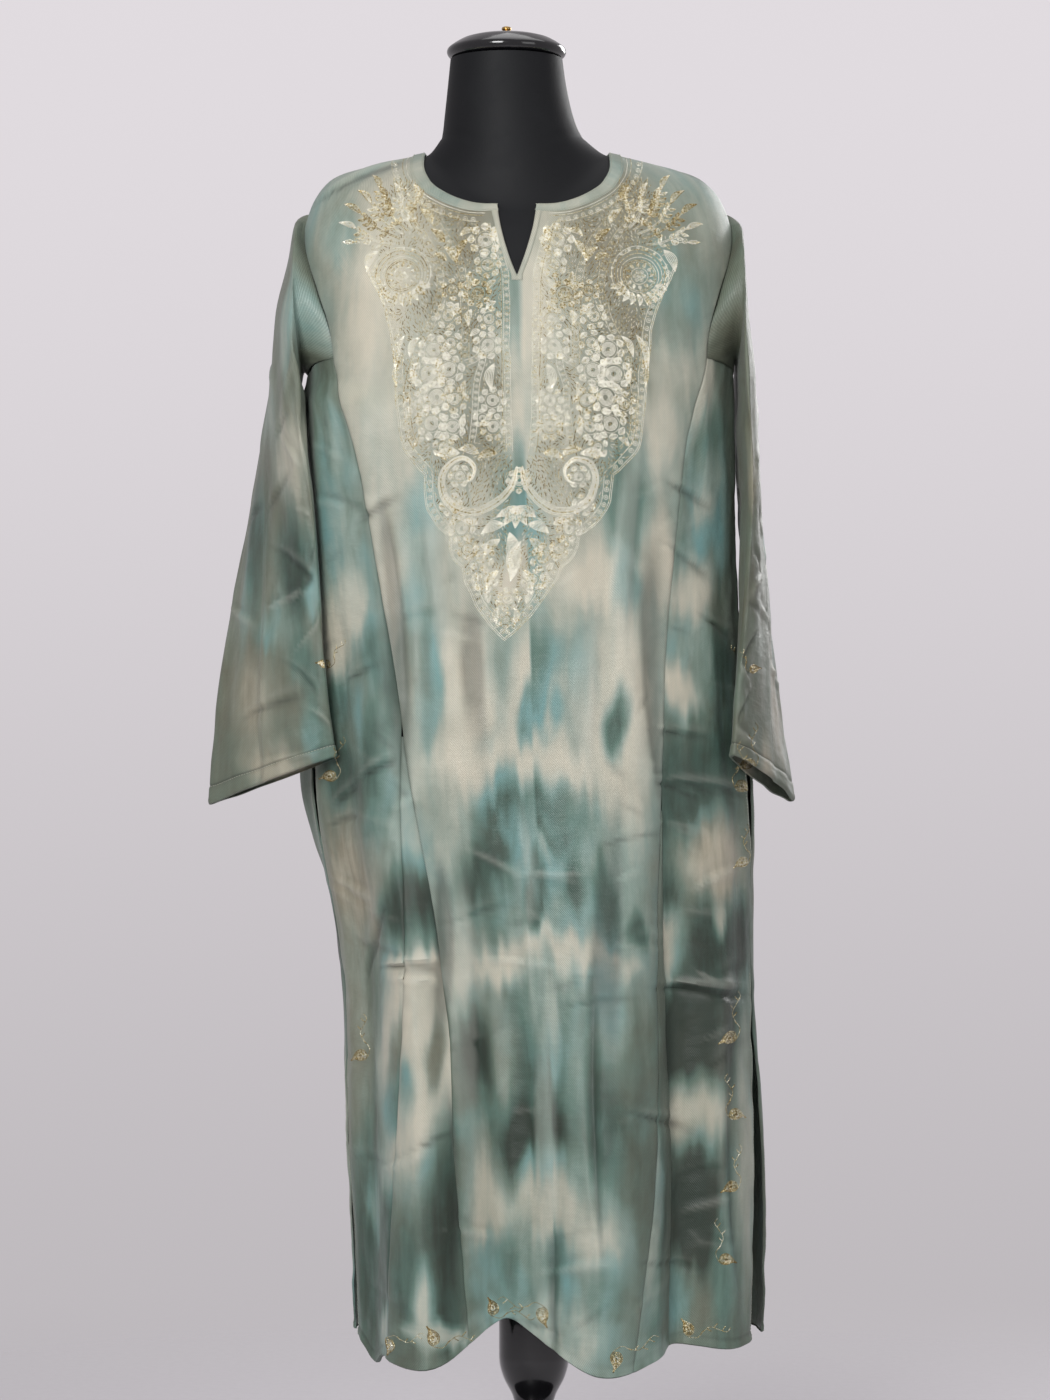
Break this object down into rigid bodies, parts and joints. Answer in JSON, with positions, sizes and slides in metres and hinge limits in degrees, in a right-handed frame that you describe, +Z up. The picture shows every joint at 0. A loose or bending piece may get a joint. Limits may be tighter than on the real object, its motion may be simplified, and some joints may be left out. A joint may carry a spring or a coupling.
{
  "type": "long embroidered tunic (pheran) on a dress form",
  "caption": "Long tie-dyed tunic with gold yoke embroidery, wide sleeves and side vents, hanging on a limbless dress form with a turned post and round foot.",
  "frame": {"origin": "centre of the foot's underside, on the floor under the post's axis", "axes": "+Z up along the post, the front faces -Y, +X towards the wearer's left"},
  "size_m": [0.5819, 0.41, 1.5485],
  "materials": {
    "dyed_cloth": "soft satin-faced twill, tie-dyed in teal, grey-green and cream",
    "neck_binding": "the same cloth, folded and stitched",
    "form_cover": "matt black knitted cover",
    "black_lacquer": "glossy black lacquer",
    "finial_brass": "polished",
    "base_paint": "satin black paint"
  },
  "bodies": {
    "root": {"front_panel": "dyed_cloth", "back_panel": "dyed_cloth", "front_gore_left": "dyed_cloth", "back_gore_left": "dyed_cloth", "front_gore_right": "dyed_cloth", "back_gore_right": "dyed_cloth", "front_godet_left": "dyed_cloth", "back_godet_left": "dyed_cloth", "front_godet_right": "dyed_cloth", "back_godet_right": "dyed_cloth", "sleeve_left": "dyed_cloth", "sleeve_right": "dyed_cloth", "neck_band": "neck_binding", "slit_binding": "neck_binding", "form_body": "form_cover", "neck_cap": "black_lacquer", "finial": "finial_brass", "post": "black_lacquer", "base": "base_paint"}
  },
  "joints": []
}
